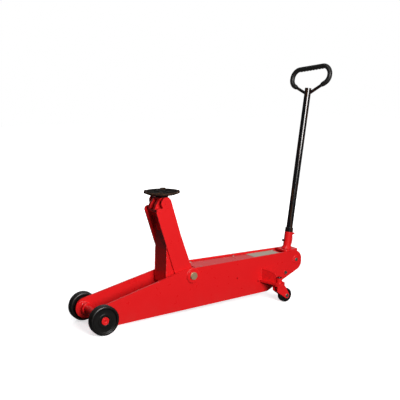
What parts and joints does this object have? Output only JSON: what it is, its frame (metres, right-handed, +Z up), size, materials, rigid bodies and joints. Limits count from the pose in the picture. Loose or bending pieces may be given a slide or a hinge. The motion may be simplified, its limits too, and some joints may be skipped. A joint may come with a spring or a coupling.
{
  "type": "hydraulic workshop jack",
  "caption": "Long-chassis rolling workshop jack with side plates, raised lifting arm and round saddle, front wheels, rear swivel casters and an upright pump handle with a hand loop.",
  "frame": {"origin": "middle of the footprint, on the floor", "axes": "+X from the front wheels to the handle, +Y to the operator's right (standing behind the handle, facing -X), +Z up"},
  "size_m": [1.284, 0.348, 1.139],
  "materials": {
    "red_paint": "gloss red enamel",
    "wheel_black": "satin black",
    "saddle_iron": "blackened casting",
    "handle_black": "gloss black enamel",
    "grip_rubber": "moulded rubber",
    "label_foil": "satin printed foil, left blank",
    "spring_steel": "oiled spring wire",
    "bright_steel": "turned steel"
  },
  "bodies": {
    "frame": {"side_plate_left": "red_paint", "side_plate_right": "red_paint", "front_axle": "red_paint", "axle_collars": "red_paint", "axle_end_caps": "red_paint", "pivot_boss_rings": "red_paint", "main_shaft": "bright_steel", "rear_tie_bar": "bright_steel", "cover_rails": "red_paint", "top_cover": "red_paint", "data_plate": "label_foil", "cover_screws": "bright_steel", "pump_block": "red_paint", "reservoir_tube": "red_paint", "ram_cylinder": "bright_steel", "gland_nut": "bright_steel", "filler_plug": "bright_steel", "link_anchor": "red_paint", "lower_link_pin": "bright_steel", "yoke_bolt": "bright_steel", "caster_bracket_left": "red_paint", "caster_bracket_right": "red_paint", "stem_caps": "wheel_black", "pump_spring": "spring_steel", "return_springs": "spring_steel"},
    "arm": {"arm_plate_left": "red_paint", "arm_plate_right": "red_paint", "arm_web": "red_paint", "arm_hubs": "red_paint", "stop_bar": "red_paint", "crank_pin": "bright_steel", "saddle_pin": "red_paint"},
    "crank_roller": {"crank_roller": "bright_steel"},
    "levelling_bars": {"levelling_bars": "red_paint"},
    "bracket": {"upper_link_pin": "bright_steel", "saddle_bracket": "red_paint"},
    "saddle": {"saddle": "saddle_iron", "saddle_set_screw": "bright_steel"},
    "ram": {"piston_rod": "bright_steel", "piston": "bright_steel", "pusher_pad": "bright_steel"},
    "plunger": {"pump_plunger": "bright_steel"},
    "release_spindle": {"release_spindle": "bright_steel"},
    "yoke": {"handle_yoke": "red_paint", "clamp_screw": "bright_steel", "pump_roller_pin": "bright_steel"},
    "pump_roller": {"pump_roller": "bright_steel"},
    "handle": {"handle_tube": "handle_black", "handle_collar": "handle_black", "hand_loop": "handle_black", "hand_grip": "grip_rubber", "release_link": "bright_steel"},
    "front_wheel_left": {"front_wheel_left": "wheel_black"},
    "front_wheel_right": {"front_wheel_right": "wheel_black"},
    "caster_fork_left": {"caster_fork_left": "red_paint", "caster_axle_left": "bright_steel"},
    "caster_fork_right": {"caster_fork_right": "red_paint", "caster_axle_right": "bright_steel"},
    "caster_wheel_left": {"caster_wheel_left": "wheel_black"},
    "caster_wheel_right": {"caster_wheel_right": "wheel_black"}
  },
  "joints": [
    {"name": "lift_arm", "type": "hinge", "parent": "frame", "child": "arm", "pos_m": [-0.11549, 0, 0.1792], "axis": [0, 1, 0], "range_deg": [-80, 0]},
    {"name": "saddle_level", "type": "hinge", "parent": "arm", "child": "bracket", "pos_m": [-0.24281, 0, 0.52341], "axis": [0, 1, 0], "range_deg": [0, 80]},
    {"name": "levelling", "type": "hinge", "parent": "frame", "child": "levelling_bars", "pos_m": [-0.13134, 0, 0.1514], "axis": [0, 1, 0], "range_deg": [-80, 0]},
    {"name": "saddle_turn", "type": "hinge", "parent": "bracket", "child": "saddle", "pos_m": [-0.23431, 0, 0.53941], "axis": [0, 0, 1], "continuous": true},
    {"name": "ram_slide", "type": "slide", "parent": "frame", "child": "ram", "axis": [-1, 0, 0], "range_m": [-0.1351, 0], "deforming": ["return_springs"]},
    {"name": "crank_roller_turn", "type": "hinge", "parent": "arm", "child": "crank_roller", "pos_m": [-0.18298, 0, 0.09877], "axis": [0, 1, 0], "continuous": true},
    {"name": "handle_pump", "type": "hinge", "parent": "frame", "child": "yoke", "pos_m": [0.50081, 0, 0.1683], "axis": [0, 1, 0], "range_deg": [0, 55], "stiffness_Nm_per_rad": 14, "springref_deg": -25.78},
    {"name": "plunger_slide", "type": "slide", "parent": "frame", "child": "plunger", "axis": [-1, 0, 0], "range_m": [0, 0.0315], "deforming": ["pump_spring"]},
    {"name": "pump_roller_turn", "type": "hinge", "parent": "yoke", "child": "pump_roller", "pos_m": [0.51625, 0, 0.13801], "axis": [0, 1, 0], "continuous": true},
    {"name": "handle_twist", "type": "hinge", "parent": "yoke", "child": "handle", "pos_m": [0.47441, 0, 0.1683], "axis": [0.1426, 0, 0.9898], "range_deg": [-10, 80]},
    {"name": "release_turn", "type": "hinge", "parent": "frame", "child": "release_spindle", "pos_m": [0.37251, 0, 0.182], "axis": [1, 0, 0], "range_deg": [-10, 80]},
    {"name": "front_wheel_left_spin", "type": "hinge", "parent": "frame", "child": "front_wheel_left", "pos_m": [-0.57749, -0.1145, 0.0645], "axis": [0, 1, 0], "continuous": true},
    {"name": "caster_left_swivel", "type": "hinge", "parent": "frame", "child": "caster_fork_left", "pos_m": [0.32251, -0.148, 0.1], "axis": [0, 0, 1], "continuous": true},
    {"name": "caster_left_roll", "type": "hinge", "parent": "caster_fork_left", "child": "caster_wheel_left", "pos_m": [0.35551, -0.148, 0.034], "axis": [0, 1, 0], "continuous": true},
    {"name": "front_wheel_right_spin", "type": "hinge", "parent": "frame", "child": "front_wheel_right", "pos_m": [-0.57749, 0.1145, 0.0645], "axis": [0, 1, 0], "continuous": true},
    {"name": "caster_right_swivel", "type": "hinge", "parent": "frame", "child": "caster_fork_right", "pos_m": [0.32251, 0.148, 0.1], "axis": [0, 0, 1], "continuous": true},
    {"name": "caster_right_roll", "type": "hinge", "parent": "caster_fork_right", "child": "caster_wheel_right", "pos_m": [0.35551, 0.148, 0.034], "axis": [0, 1, 0], "continuous": true}
  ],
  "couplings": [
    {"joint": "saddle_level", "follows": "lift_arm", "ratio": -1},
    {"joint": "levelling", "follows": "lift_arm", "ratio": 1},
    {"joint": "ram_slide", "follows": "lift_arm", "m_per_rad": 0.096676},
    {"joint": "plunger_slide", "follows": "handle_pump", "m_per_rad": 0.03271},
    {"joint": "release_turn", "follows": "handle_twist", "ratio": 1}
  ]
}
